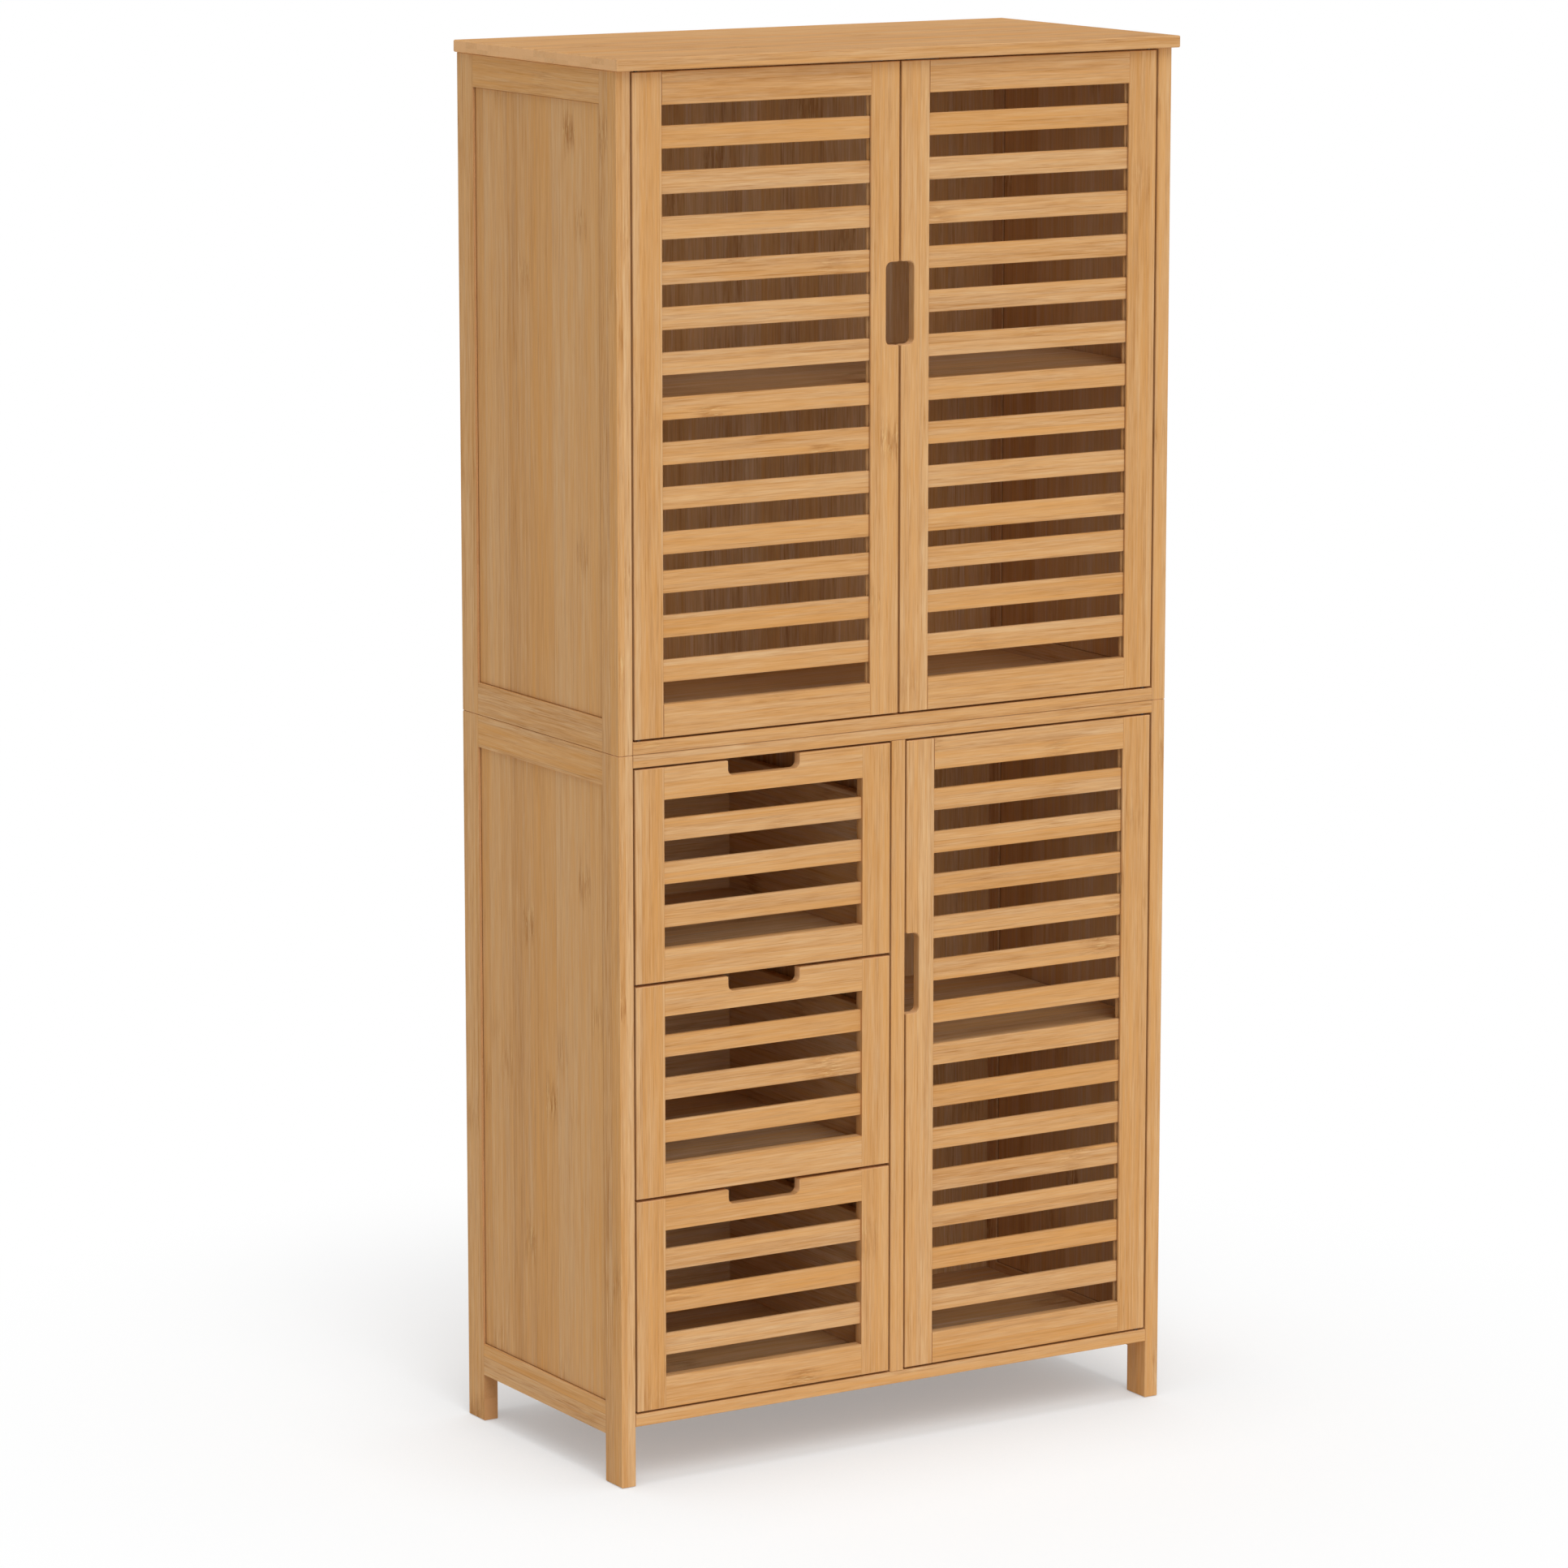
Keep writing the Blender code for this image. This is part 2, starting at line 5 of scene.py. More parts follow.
import bmesh
import bpy
from mathutils import Euler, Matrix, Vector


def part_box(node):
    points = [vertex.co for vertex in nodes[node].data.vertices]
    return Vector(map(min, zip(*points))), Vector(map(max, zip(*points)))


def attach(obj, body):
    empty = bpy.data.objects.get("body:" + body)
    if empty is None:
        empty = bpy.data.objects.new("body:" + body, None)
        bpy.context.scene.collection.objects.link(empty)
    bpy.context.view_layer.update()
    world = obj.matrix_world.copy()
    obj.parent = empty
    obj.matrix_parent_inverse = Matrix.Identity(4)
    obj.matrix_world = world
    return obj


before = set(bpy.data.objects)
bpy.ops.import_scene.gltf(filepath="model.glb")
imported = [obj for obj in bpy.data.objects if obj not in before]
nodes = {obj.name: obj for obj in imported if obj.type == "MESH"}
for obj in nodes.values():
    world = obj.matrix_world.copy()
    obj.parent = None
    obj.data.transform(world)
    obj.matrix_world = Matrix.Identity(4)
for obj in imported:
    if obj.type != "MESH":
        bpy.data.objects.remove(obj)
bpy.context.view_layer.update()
scene = bpy.context.scene
print("frame loaded:", len(nodes), "nodes")


def linear(hexColour):  # sRGB hex to the linear colour that sockets take
    parts = [int(hexColour[i:i + 2], 16) / 255 for i in (1, 3, 5)]
    return (*[p / 12.92 if p <= 0.04045 else ((p + 0.055) / 1.055) ** 2.4 for p in parts], 1)


def millimetres(*values):  # from metres
    return [value * 1000 for value in values]


def feed(socket, value):  # a node or one of its outputs is linked, anything else is set
    if isinstance(value, bpy.types.Node):
        value = next(output for output in value.outputs if output.enabled)
    if isinstance(value, bpy.types.NodeSocket):
        socket.id_data.links.new(value, socket)
    else:
        socket.default_value = value


def add(tree, kind, *inputs, **named):
    # One node: inputs fill its sockets in turn, and a name is a socket's or a setting's
    node = tree.nodes.new("ShaderNode" + kind)
    for name, value in named.items():
        if name not in node.inputs:
            setattr(node, name, value)
    for socket, value in zip([socket for socket in node.inputs if socket.enabled], inputs):
        feed(socket, value)
    for name, value in named.items():
        if name in node.inputs:
            feed(node.inputs[name], value)
    return node


def newMaterial(name):
    material = bpy.data.materials.new(name)
    material.use_nodes = True
    tree = material.node_tree
    return material, tree, tree.nodes["Principled BSDF"]


# Laminated bamboo under a matt lacquer: planed strips, glued face to face and edge to edge.
# The eye sees fine straight fibres, strips of slightly different straw and honey tones and, now
# and then, the mottled mark of a culm's node. Inner faces are left bare and are paler, partly
# as bare wood and partly as painted light that brightens the shaded inside.
bambooLook = {
    # The darkest brown is painted shade, for the dark lines where panels and slats go into their
    # frames
    "dark": "#A6713D", "middle": "#C99E71", "light": "#E0BC8F", "honey": "#D39957",
    "nodeBrown": "#A26D3D", "nodePale": "#EACB92", "endGrain": "#E3B281", "shadeLineBrown": "#7E4E24",
    "stripWidth": 21.0,      # mm, width of one planed strip
    "stripThickness": 5.8,   # mm
    "stripShift": 900,       # mm, the most that a strip is slid along its neighbours
    "stripDeal": 0.5,        # another number deals the strips' tones anew
    # Patterns: mm along and across the fibres, then the detail and roughness of their noise.
    # Fibres, hairs and flecks are drawn coarser than the real 0.5 mm, or they wouldn't show.
    "bands": (170, 6.5, 2, 0.55),
    "fibres": (48, 1.9, 3, 0.6),
    "hairs": (26, 0.85, 2, 0.55),
    "bundles": (120, 1.5, 1, 0.55),  # dark bundles of fibres that run a long way
    "flecks": (24, 0.9, 1, 0.55),    # short dashes of pores
    "ragged": (30, 3.2, 3, 0.55),    # torn edges and mottling of a node
    # How far each moves the tone, which runs from 0 at dark to 1 at light
    "stripTone": 0.20, "bandTone": 0.75, "fibreTone": 0.75, "hairTone": 0.65,
    "bundleTone": -0.26, "bundleRange": (0.62, 0.72),  # where in the noise it sets in
    "fleckTone": -0.20, "fleckRange": (0.60, 0.75),
    # Share of honey in the straw, and how far each moves it
    "honeyShare": 0.36, "stripHoney": 0.36, "bandHoney": 0.85, "fibreHoney": 0.95,
    "nodeSpacing": 300.0,    # mm between nodes along a strip
    "nodeLength": 30.0,      # mm of disturbed fibres on each side of a node
    "nodeHeart": 1,          # mm on each side where they are disturbed most
    "nodeWander": 34,        # mm, how ragged a node's ends are
    "nodeBend": 7,           # mm, how far the fibres swing aside at a node
    "nodeRarity": 3.5,       # the higher, the fewer nodes stand out
    "nodeFibreTone": 1.2,    # by how much the fibres stand out more at a node
    "mottleShare": 0.85, "mottleRange": (0.34, 0.66),
    "paleShare": 0.55, "paleRange": (0.56, 0.70),
    "seamShare": 0.5, "seamRange": (0.482, 0.5),    # in strip widths from a strip's middle
    "seamBreaks": (0.42, 0.62),                     # where in the bands' noise a seam fades
    "endShare": 0.6, "endSpread": 0.5, "endRange": (0.6, 0.8),
    "jointWidth": 0.4, "jointShare": 0.45,          # mm, glue line where stile and rail meet
    "shadeLineRange": (1.3, 1.3 / 3), "shadeLineShare": 0.6,    # mm, painted shade: a dark line where a panel or slats enter their frame
    "roughness": 0.68, "roughnessSpread": 0.2, "gloss": 0.02,
    "grooveDepth": 0.00003, "grooveStrength": 0.6,  # m, how deep the fibres stand in the lacquer
    "bareAndLitLift": (1.14, 1.27, 1.52),  # how much paler inner faces are, in red, green and blue: bare wood, and painted light
}
# What lies inside the cabinet, m: behind the doors, between the sides and above the lower floor
insideOf = {"x": (-0.2872, 0.2872), "y": (-0.1300, 0.1390), "z": (0.0565, 1.2950)}


def grain(put, place, pattern):  # noise stretched along the fibres, as three values
    length, width, detail, roughness = pattern
    sizes = (length, width, width)
    shrunk = [put("Math", way, size, operation="DIVIDE") for way, size in zip(place, sizes)]
    where = put("CombineXYZ", *shrunk)
    noise = put("TexNoise", Vector=where, Scale=1, Detail=detail, Roughness=roughness)
    return put("SeparateColor", noise.outputs["Color"]).outputs


def swing(put, value, amount, base):  # base plus amount times a 0 to 1 value's way from its middle
    offset = put("Math", value, 0.5, operation="SUBTRACT")
    return put("Math", offset, amount, base, operation="MULTIPLY_ADD")


def stainAndShade(put, colour, where, share, name):  # lays a colour over the others: one of the wood's own colours, and also the brown of the painted shade lines
    mask = put("Math", where, share, operation="MULTIPLY")
    return put("Mix", mask, colour, linear(bambooLook[name]), data_type="RGBA")


def layOut(put, order, turned):
    # The place in millimetres by axis, then along, across and through the strips, how far a face
    # looks along the fibres, and the glue line between turned parts
    source = put("TexCoord")
    place = put("VectorMath", source.outputs["Object"], (1000, 1000, 1000), operation="MULTIPLY")
    spot = dict(zip("xyz", put("SeparateXYZ", place).outputs))
    facing = dict(zip("xyz", put("SeparateXYZ", source.outputs["Normal"]).outputs))
    ways = [spot[axis] for axis in order]
    endways = put("Math", facing[order[0]], operation="ABSOLUTE")
    if not turned:
        return spot, ways, endways, None
    value = spot[turned["axis"]]
    low, high = turned["edges"]
    below = put("Math", value, low, operation="LESS_THAN")
    above = put("Math", value, high, operation="GREATER_THAN")
    beyond = put("Math", below, above, operation="MAXIMUM")
    others = [spot[axis] for axis in turned["order"]]
    ways = [put("Mix", beyond, one, other) for one, other in zip(ways, others)]
    turnedEndways = put("Math", facing[turned["order"][0]], operation="ABSOLUTE")
    endways = put("Mix", beyond, endways, turnedEndways)
    distances = [
        put("Math", put("Math", value, edge, operation="SUBTRACT"), operation="ABSOLUTE")
        for edge in (low, high)
    ]
    nearest = put("Math", *distances, operation="MINIMUM")
    joint = put("Math", nearest, bambooLook["jointWidth"] / 2, operation="LESS_THAN")
    return spot, ways, endways, joint


def bamboo(name, order, turned=None, shadeLines=None, contrast=1.0, stripContrast=1.0):
    # order names the axes of the fibres, of the strips' width and of their thickness;
    # turned gives the other order past two edges of an axis, as on the stiles of a glued frame;
    # shade lines give the places along each axis where a panel or slats go into their frame,
    # where a dark line of painted shade is drawn
    look = bambooLook
    material, tree, shader = newMaterial(name)
    put = partial(add, tree)
    spot, (along, wide, thin), endways, joint = layOut(put, order, turned)

    # Which strip this is, and three random numbers for it
    across = put("Math", wide, look["stripWidth"], operation="DIVIDE")
    through = put("Math", thin, look["stripThickness"], operation="DIVIDE")
    row = put("Math", across, operation="FLOOR")
    layer = put("Math", through, operation="FLOOR")
    strip = put("CombineXYZ", row, layer, look["stripDeal"])
    chance = put("TexWhiteNoise", strip, noise_dimensions="3D")
    lots = put("SeparateColor", chance.outputs["Color"]).outputs
    run = put("Math", lots[0], look["stripShift"], along, operation="MULTIPLY_ADD")

    # Nodes: every strip is shifted by its own random length, and most nodes are faint
    culm = put("Math", run, look["nodeSpacing"], operation="DIVIDE")
    ring = put("CombineXYZ", put("Math", culm, operation="FLOOR"), row, layer)
    strength = put("TexWhiteNoise", ring, noise_dimensions="3D")
    strength = put("Math", strength, look["nodeRarity"], operation="POWER")
    ragged = grain(put, (run, wide, thin), look["ragged"])
    away = put("Math", put("Math", culm, operation="FRACT"), 0.5, operation="SUBTRACT")
    away = put("Math", away, look["nodeSpacing"], operation="MULTIPLY")
    away = put("Math", swing(put, ragged[0], look["nodeWander"], away), operation="ABSOLUTE")
    reach = (look["nodeLength"], look["nodeHeart"])
    near = put("MapRange", away, *reach, interpolation_type="SMOOTHSTEP")
    node = put("Math", near, strength, operation="MULTIPLY")
    bend = put("Math", node, swing(put, ragged[1], look["nodeBend"], 0), operation="MULTIPLY")
    bent = (run, put("Math", wide, bend, operation="ADD"), put("Math", thin, bend, operation="ADD"))

    # Tone from strip, bands, fibres and hairs; fibres stand out more round a node
    bands = grain(put, (run, wide, thin), look["bands"])
    fibres = grain(put, bent, look["fibres"])
    hairs = grain(put, bent, look["hairs"])
    tone = swing(put, lots[1], look["stripTone"] * stripContrast, 0.5)
    tone = swing(put, bands[0], look["bandTone"] * min(contrast, 1), tone)
    plain = look["fibreTone"] * contrast
    strong = put("Math", node, look["nodeFibreTone"], plain, operation="MULTIPLY_ADD")
    tone = swing(put, fibres[0], strong, tone)
    tone = swing(put, hairs[0], look["hairTone"] * contrast, tone)
    bundles = grain(put, bent, look["bundles"])
    dim = put("MapRange", bundles[0], *look["bundleRange"], interpolation_type="SMOOTHSTEP")
    tone = put("Math", dim, look["bundleTone"] * contrast, tone, operation="MULTIPLY_ADD")
    flecks = grain(put, bent, look["flecks"])
    dim = put("MapRange", flecks[0], *look["fleckRange"], interpolation_type="SMOOTHSTEP")
    tone = put("Math", dim, look["fleckTone"] * contrast, tone, operation="MULTIPLY_ADD")
    ramp = put("ValToRGB", tone)
    ramp.color_ramp.elements[0].color = linear(look["dark"])
    ramp.color_ramp.elements[1].color = linear(look["light"])
    ramp.color_ramp.elements.new(0.5).color = linear(look["middle"])

    # Honey tones, then the brown mottling and pale dashes of the nodes
    warmth = swing(put, lots[2], look["stripHoney"], look["honeyShare"])
    warmth = swing(put, bands[1], look["bandHoney"], warmth)
    warmth = swing(put, fibres[2], look["fibreHoney"], warmth)
    warmth = put("Math", warmth, 1, operation="MULTIPLY", use_clamp=True)
    colour = put("Mix", warmth, ramp, linear(look["honey"]), data_type="RGBA")
    blotches = put("MapRange", ragged[2], *look["mottleRange"], interpolation_type="SMOOTHSTEP")
    mottle = put("Math", node, blotches, operation="MULTIPLY")
    colour = stainAndShade(put, colour, mottle, look["mottleShare"], "nodeBrown")
    dashes = put("MapRange", flecks[1], *look["paleRange"], interpolation_type="SMOOTHSTEP")
    pale = put("Math", node, dashes, operation="MULTIPLY")
    colour = stainAndShade(put, colour, pale, look["paleShare"], "nodePale")

    # Glue lines between strips, faint and broken
    seam = put("Math", put("Math", across, operation="FRACT"), 0.5, operation="SUBTRACT")
    seam = put("Math", seam, operation="ABSOLUTE")
    seam = put("MapRange", seam, *look["seamRange"], interpolation_type="SMOOTHSTEP")
    breaks = put("MapRange", bands[2], *look["seamBreaks"], interpolation_type="SMOOTHSTEP")
    seam = put("Math", seam, breaks, operation="MULTIPLY")
    colour = stainAndShade(put, colour, seam, look["seamShare"], "nodeBrown")

    # Sawn ends are paler, a small block for each strip; then glued joints, and painted shade lines
    # where panels and slats go into their frames
    ends = put("MapRange", endways, *look["endRange"], interpolation_type="SMOOTHSTEP")
    endShare = swing(put, lots[2], look["endSpread"], look["endShare"])
    colour = stainAndShade(put, colour, ends, endShare, "endGrain")
    if joint is not None:
        colour = stainAndShade(put, colour, joint, look["jointShare"], "nodeBrown")
    # Painted shade: a dark line along each edge where a panel or slats go into their frame
    for axis, edges in (shadeLines or {}).items():
        for edge in edges:
            gap = put("Math", spot[axis], edge, operation="SUBTRACT")
            gap = put("Math", gap, operation="ABSOLUTE")
            line = put("MapRange", gap, *look["shadeLineRange"], interpolation_type="SMOOTHSTEP")
            colour = stainAndShade(put, colour, line, look["shadeLineShare"], "shadeLineBrown")

    # Faces inside are paler: bare wood without the lacquer that deepens the colour, and painted
    # light that brightens the shaded inside
    bareAndLitInside = None
    for axis, (low, high) in insideOf.items():
        middle, half = millimetres((low + high) / 2, (high - low) / 2)
        within = put("Math", spot[axis], middle, half, operation="COMPARE")
        bareAndLitInside = within if bareAndLitInside is None else put("Math", bareAndLitInside, within, operation="MULTIPLY")
    # Painted light: the inside is lifted paler and bluer, on top of the bare wood's own paleness
    paleAndLit = put("VectorMath", colour, look["bareAndLitLift"], operation="MULTIPLY")
    feed(shader.inputs["Base Color"], put("Mix", bareAndLitInside, colour, paleAndLit, data_type="RGBA"))

    rough = swing(put, hairs[1], look["roughnessSpread"], look["roughness"])
    feed(shader.inputs["Roughness"], rough)
    grooves = put("Bump", Strength=look["grooveStrength"], Distance=look["grooveDepth"],
                  Height=hairs[0])
    feed(shader.inputs["Normal"], grooves)
    feed(shader.inputs["Specular IOR Level"], look["gloss"])
    return material


# Steel, turned or rolled: metal with faint lines of tool marks, blackened on the pivot pins,
# which keeps them dark in the gaps, and zinc plated on the shelf pins and strike plates.
# The lines are drawn coarser than the real 0.1 mm, or they wouldn't show; lineSpacing is in mm.
steelLooks = {
    "blackened steel": {
        "bright": "#6A625B", "dull": "#4C4641", "roughness": 0.42, "roughnessSpread": 0.2,
        "lineSpacing": 0.35, "lineDetail": 2,
    },
    "zinc plated steel": {
        "bright": "#B4B6B5", "dull": "#93969A", "roughness": 0.34, "roughnessSpread": 0.2,
        "lineSpacing": 0.5, "lineDetail": 2,
    },
}


def steel(name):
    look = steelLooks[name]
    material, tree, shader = newMaterial(name)
    put = partial(add, tree)
    place = put("SeparateXYZ", put("TexCoord").outputs["Object"])
    height = put("Math", place.outputs["Z"], 1000 / look["lineSpacing"], operation="MULTIPLY")
    lines = put("CombineXYZ", Z=height)
    marks = put("TexNoise", Vector=lines, Scale=1, Detail=look["lineDetail"])
    colour = put("Mix", marks, linear(look["dull"]), linear(look["bright"]), data_type="RGBA")
    feed(shader.inputs["Base Color"], colour)
    rough = put("Math", marks, look["roughnessSpread"], look["roughness"], operation="MULTIPLY_ADD")
    feed(shader.inputs["Roughness"], rough)
    feed(shader.inputs["Metallic"], 1)
    return material


# Moulded ABS: off-white, with the fine grain of a textured mould
plasticLook = {
    "colour": "#E6E2DA", "shade": "#D8D3C9", "roughness": 0.5,
    "grainSize": 0.6,       # mm, drawn coarser than the real 0.1 mm so that it shows
    "grainDetail": 2,
    "grainDepth": 0.00005,  # m
    "grainStrength": 0.3,
}


def mouldedPlastic():
    look = plasticLook
    material, tree, shader = newMaterial("moulded ABS")
    put = partial(add, tree)
    place = put("TexCoord").outputs["Object"]
    pits = put("TexNoise", Vector=place, Scale=1000 / look["grainSize"], Detail=look["grainDetail"])
    colour = put("Mix", pits, linear(look["shade"]), linear(look["colour"]), data_type="RGBA")
    feed(shader.inputs["Base Color"], colour)
    bumps = put("Bump", Strength=look["grainStrength"], Distance=look["grainDepth"], Height=pits)
    feed(shader.inputs["Normal"], bumps)
    feed(shader.inputs["Roughness"], look["roughness"])
    return material


# Side frames, m: legs from front to back, and how far a side panel goes into its frame
sideFrame = {"legDepth": 0.030, "grooveDepth": 0.006}


def stileEdges(door):  # where a door's slats go into its two stiles, in millimetres
    handle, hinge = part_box(door + "_handle_stile"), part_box(door + "_hinge_stile")
    if handle[0].x < hinge[0].x:
        return millimetres(handle[1].x, hinge[0].x)
    return millimetres(hinge[1].x, handle[0].x)


def coatCabinet():
    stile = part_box("left_door_hinge_stile")
    stileWidth = stile[1].x - stile[0].x
    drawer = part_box("top_drawer_front")
    frontJoints = {
        "axis": "x", "order": "zxy",
        "edges": millimetres(drawer[0].x + stileWidth, drawer[1].x - stileWidth),
    }
    legs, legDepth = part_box("upper_left_frame"), sideFrame["legDepth"]
    sideJoints = {
        "axis": "y", "order": "zyx",
        "edges": millimetres(legs[0].y + legDepth, legs[1].y - legDepth),
    }
    upper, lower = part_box("upper_left_panel"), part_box("lower_left_panel")
    groove = sideFrame["grooveDepth"]
    # Painted shade lines go along the edges where the side panels enter their frames, and where the
    # slats enter their stiles
    panelShadeLines = {
        "y": millimetres(upper[0].y + groove, upper[1].y - groove),
        "z": millimetres(upper[0].z + groove, upper[1].z - groove,
                         lower[0].z + groove, lower[1].z - groove),
    }
    upperSlatShadeLines = {"x": stileEdges("left_door") + stileEdges("right_door")}
    lowerSlatShadeLines = {"x": stileEdges("lower_door")}
    finishes = [  # each finish, and how the names of its pieces end
        (bamboo("laminated bamboo board", "xyz"), ("_board", "_floor", "_shelf", "_bottom")),
        (bamboo("laminated bamboo rail", "xzy"), ("_rail", "_back_wall")),
        (bamboo("laminated bamboo stile", "zxy"), ("_stile", "divider")),
        (bamboo("laminated bamboo upper slat", "xzy", shadeLines=upperSlatShadeLines),
         ("left_door_slats", "right_door_slats")),
        (bamboo("laminated bamboo lower slat", "xzy", shadeLines=lowerSlatShadeLines), ("lower_door_slats",)),
        (bamboo("laminated bamboo panel", "zyx", shadeLines=panelShadeLines, contrast=0.65, stripContrast=1.7),
         ("_left_panel", "_right_panel")),
        (bamboo("laminated bamboo back panel", "zxy", contrast=1.2, stripContrast=1.4),
         ("_back_panel",)),
        (bamboo("laminated bamboo drawer wall", "yzx"), ("_left_wall", "_right_wall", "_runner")),
        (bamboo("laminated bamboo drawer front", "xzy", frontJoints), ("_front",)),
        (bamboo("laminated bamboo side frame", "yzx", sideJoints), ("_frame",)),
        (steel("blackened steel"), ("_pin",)),
        (mouldedPlastic(), ("_catch",)),
    ]
    for name, node in nodes.items():
        finish = next(finish for finish, endings in finishes if name.endswith(endings))
        for slot in node.material_slots:
            slot.material = finish


coatCabinet()
print("bamboo, steel and plastic applied")


def newPiece(name, mesh, finish, body):
    data = bpy.data.meshes.new(name)
    mesh.to_mesh(data)
    mesh.free()
    piece = bpy.data.objects.new(name, data)
    scene.collection.objects.link(piece)
    data.materials.append(finish)
    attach(piece, body)


# Strike plates: thin steel plates on the doors' backs, one against each catch, held by a flat rivet
plateLook = {
    "margin": 0.0022,      # m, how much smaller than the catch it is at the sides and the bottom
    "topMargin": 0.0011,   # m, under the catch's or the door's top edge
    "proud": 0.00014,      # m, out of the door, within the gap to the catch
    "sunk": 0.0008,        # m, into the door
    "corner": 0.0016,      # m, corner radius
    "cornerSteps": 4,
    "rivetRadius": 0.0023,
    "rivetTaper": 0.9,     # width of its face as a share of its foot's
    "rivetProud": 0.0001,  # m, out of the plate
    "rivetSides": 28,
}


def strikePlate(door, finish):
    look = plateLook
    catchLow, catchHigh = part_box(door + "_catch")
    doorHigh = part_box(door + "_handle_stile")[1]
    left, right = catchLow.x + look["margin"], catchHigh.x - look["margin"]
    low, high = catchLow.z + look["margin"], min(catchHigh.z, doorHigh.z) - look["topMargin"]
    back, front = doorHigh.y - look["sunk"], doorHigh.y + look["proud"]
    middle = ((left + right) / 2, (back + front) / 2, (low + high) / 2)
    mesh = bmesh.new()
    plate = bmesh.ops.create_cube(mesh, size=1)["verts"]
    bmesh.ops.scale(mesh, verts=plate, vec=(right - left, front - back, high - low))
    corners = [edge for edge in mesh.edges if edge.verts[0].co.y * edge.verts[1].co.y < 0]
    bmesh.ops.bevel(mesh, geom=corners, offset=look["corner"], segments=look["cornerSteps"],
                    profile=0.5, affect="EDGES", material=-1)
    rivet = bmesh.ops.create_cone(mesh, cap_ends=True, segments=look["rivetSides"],
                                  radius1=look["rivetRadius"],
                                  radius2=look["rivetRadius"] * look["rivetTaper"],
                                  depth=2 * look["rivetProud"])["verts"]
    faceBack = Euler((math.radians(-90), 0, 0)).to_matrix()
    bmesh.ops.rotate(mesh, verts=rivet, cent=(0, 0, 0), matrix=faceBack)
    bmesh.ops.translate(mesh, verts=rivet, vec=(0, (front - back) / 2, 0))
    bmesh.ops.translate(mesh, verts=mesh.verts, vec=middle)
    newPiece(door + "_strike_plate", mesh, finish, door)


# Shelf pins: turned steel pegs in the sides, with a ring groove and a domed end, four to a shelf
pegLook = {
    "radius": 0.0025,
    "reach": 0.0085,         # m, out of the wood
    "sunk": 0.004,           # m, into the wood
    "grooveAt": 0.0012,      # m, from the wood
    "grooveDepth": 0.0005,
    # The domed end, in radii: how far short of the tip, and how far from the middle line
    "dome": ((0.6, 1.0), (0.25, 0.8), (0.06, 0.4), (0.0, 0.0)),
    "clearance": 0.0001,     # m, under the shelf
    "fromFront": 0.010,      # m, from the shelf's front edge
    "fromBack": 0.010,
    "sides": 24,
    "mergeWithin": 0.000001,
}


def shelfPins(shelf, finish):
    low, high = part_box(shelf)
    look = pegLook
    radius, groove = look["radius"], look["grooveDepth"]
    outline = [  # along the peg from its buried end, and how far from its middle line
        (-look["sunk"], 0), (-look["sunk"], radius), (look["grooveAt"] - groove, radius),
        (look["grooveAt"], radius - groove), (look["grooveAt"] + groove, radius),
        *[(look["reach"] - radius * short, radius * out) for short, out in look["dome"]],
    ]
    height = low.z - look["clearance"] - radius
    mesh = bmesh.new()
    for wall, inwards in ((low.x, 1), (high.x, -1)):
        for depth in (low.y + look["fromFront"], high.y - look["fromBack"]):
            points = [mesh.verts.new((wall + inwards * along, depth, height + away))
                      for along, away in outline]
            line = [mesh.edges.new(pair) for pair in zip(points, points[1:])]
            bmesh.ops.spin(mesh, geom=points + line, cent=(wall, depth, height), axis=(1, 0, 0),
                           angle=math.tau, steps=look["sides"], use_merge=True, use_duplicate=False)
    bmesh.ops.remove_doubles(mesh, verts=mesh.verts, dist=look["mergeWithin"])
    bmesh.ops.recalc_face_normals(mesh, faces=mesh.faces)
    newPiece(shelf + "_pins", mesh, finish, "cabinet")


def addFittings():
    finish = steel("zinc plated steel")
    for door in ("left_door", "right_door", "lower_door"):
        strikePlate(door, finish)
    for shelf in ("upper_shelf", "lower_shelf"):
        shelfPins(shelf, finish)


addFittings()
print("strike plates and shelf pins added")


# Floor and light: white sweep, soft light from above the front, even light from all round
studio = {
    "floorSize": 60.0, "floorDrop": 0.0005,  # m
    "floorColour": "#FCFEFF", "floorRoughness": 0.9,
    "floorGlow": 0.275,    # white that the camera sees whatever the light, which thins the shadow
    "paintedShadowGlow": 0.205,  # more of that white, which fades by occlusion under and near the cabinet: a painted shadow
    "paintedShadowReach": 0.2,   # m, how far from the cabinet that painted shadow reaches
    "paintedShadowSamples": 4,
    "sweep": (0.36, 1.0),  # m from the middle, over which the floor turns plain white
    "surround": 0.38,      # strength of the light from all round
    "lamps": {             # power, then degrees: width, height above the floor, swing to the right
        "overhead softbox": (0.74, 24, 86, -40),
        "key softbox": (1.28, 36, 50, -16),
        "front softbox": (0.48, 44, 15, -5),
    },
}


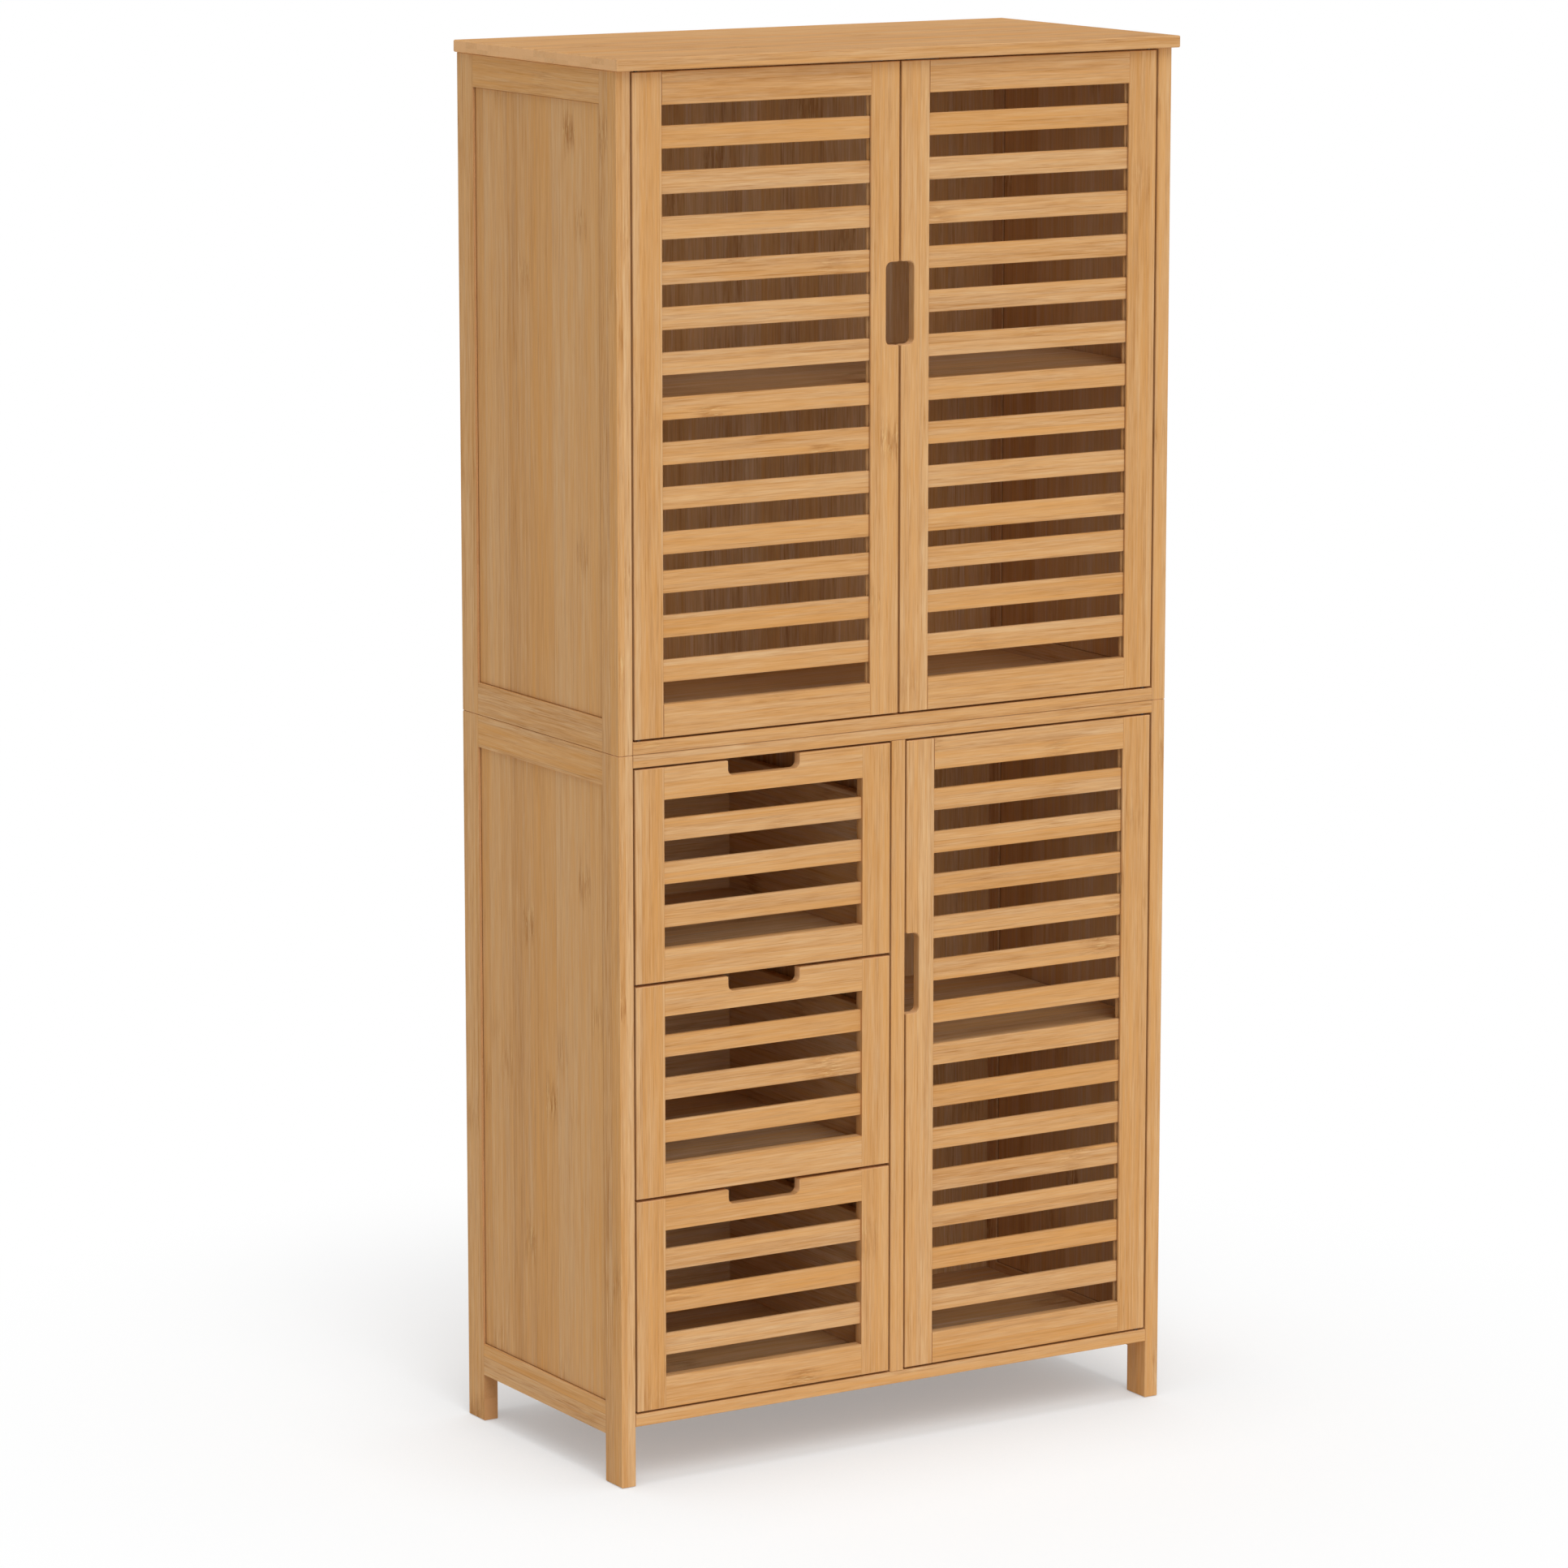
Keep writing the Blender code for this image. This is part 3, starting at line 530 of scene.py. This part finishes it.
def whiteSweep():  # it glows for the camera alone, so the cabinet gets no light from that
    material, tree, shader = newMaterial("matt white sweep")
    put = partial(add, tree)
    feed(shader.inputs["Base Color"], linear(studio["floorColour"]))
    feed(shader.inputs["Roughness"], studio["floorRoughness"])
    feed(shader.inputs["Specular IOR Level"], 0)
    steady, shadowedGlow = studio["floorGlow"], studio["paintedShadowGlow"]
    allGlow = steady + shadowedGlow
    reach, samples = studio["paintedShadowReach"], studio["paintedShadowSamples"]
    # Painted shadow: the camera's white fades by ambient occlusion where the cabinet covers the
    # floor
    clear = put("AmbientOcclusion", Distance=reach, samples=samples).outputs["AO"]
    level = put("Math", clear, shadowedGlow / allGlow, steady / allGlow, operation="MULTIPLY_ADD")
    glow = put("Emission", Color=(1, 1, 1, 1), Strength=level)
    away = put("VectorMath", put("TexCoord").outputs["Object"], operation="LENGTH")
    white = put("MapRange", away, *studio["sweep"], allGlow, 1, interpolation_type="SMOOTHSTEP")
    share = put("Math", put("LightPath").outputs["Is Camera Ray"], white, operation="MULTIPLY")
    mixed = put("MixShader", share, shader, glow)
    feed(tree.nodes["Material Output"].inputs["Surface"], mixed)
    return material


def layFloor():
    mesh = bmesh.new()
    bmesh.ops.create_grid(mesh, x_segments=1, y_segments=1, size=studio["floorSize"] / 2)
    bmesh.ops.translate(mesh, verts=mesh.verts, vec=(0, 0, -studio["floorDrop"]))
    data = bpy.data.meshes.new("floor")
    mesh.to_mesh(data)
    mesh.free()
    floor = bpy.data.objects.new("floor", data)
    scene.collection.objects.link(floor)
    data.materials.append(whiteSweep())


def lightAllRound():  # the backdrop is white to the eye and in reflections, and lights less
    world = bpy.data.worlds.new("studio")
    scene.world = world
    world.use_nodes = True
    put = partial(add, world.node_tree)
    background = world.node_tree.nodes["Background"]
    rays = put("LightPath").outputs
    mirrored = put("Math", rays["Is Glossy Ray"], rays["Is Transmission Ray"], operation="MAXIMUM")
    seen = put("Math", rays["Is Camera Ray"], mirrored, operation="MAXIMUM")
    feed(background.inputs["Color"], (1, 1, 1, 1))
    feed(background.inputs["Strength"], put("Mix", seen, studio["surround"], 1.0))


def hangLamps():
    for name, (power, spread, height, turn) in studio["lamps"].items():
        lamp = bpy.data.lights.new(name, "SUN")
        lamp.energy = power
        lamp.angle = math.radians(spread)
        holder = bpy.data.objects.new(name, lamp)
        holder.rotation_euler = Euler((math.radians(90 - height), 0, math.radians(turn)))
        scene.collection.objects.link(holder)


layFloor()
lightAllRound()
hangLamps()
print("floor and light placed")


# Camera: the photograph's viewpoint, found from the corners of the cabinet
viewpoint = {
    "place": (-3.102, -5.009, 1.693),  # m
    "turn": -31.46, "tilt": -10.48,    # degrees
    "lens": 146.7, "sensor": 36,       # mm
}


def placeCamera():
    data = bpy.data.cameras.new("camera")
    data.lens = viewpoint["lens"]
    data.sensor_width = viewpoint["sensor"]
    camera = bpy.data.objects.new("camera", data)
    camera.location = viewpoint["place"]
    tilt, turn = math.radians(90 + viewpoint["tilt"]), math.radians(viewpoint["turn"])
    camera.rotation_euler = Euler((tilt, 0, turn))
    scene.collection.objects.link(camera)
    scene.camera = camera


placeCamera()
scene.view_settings.view_transform = "Standard"
print("camera placed")
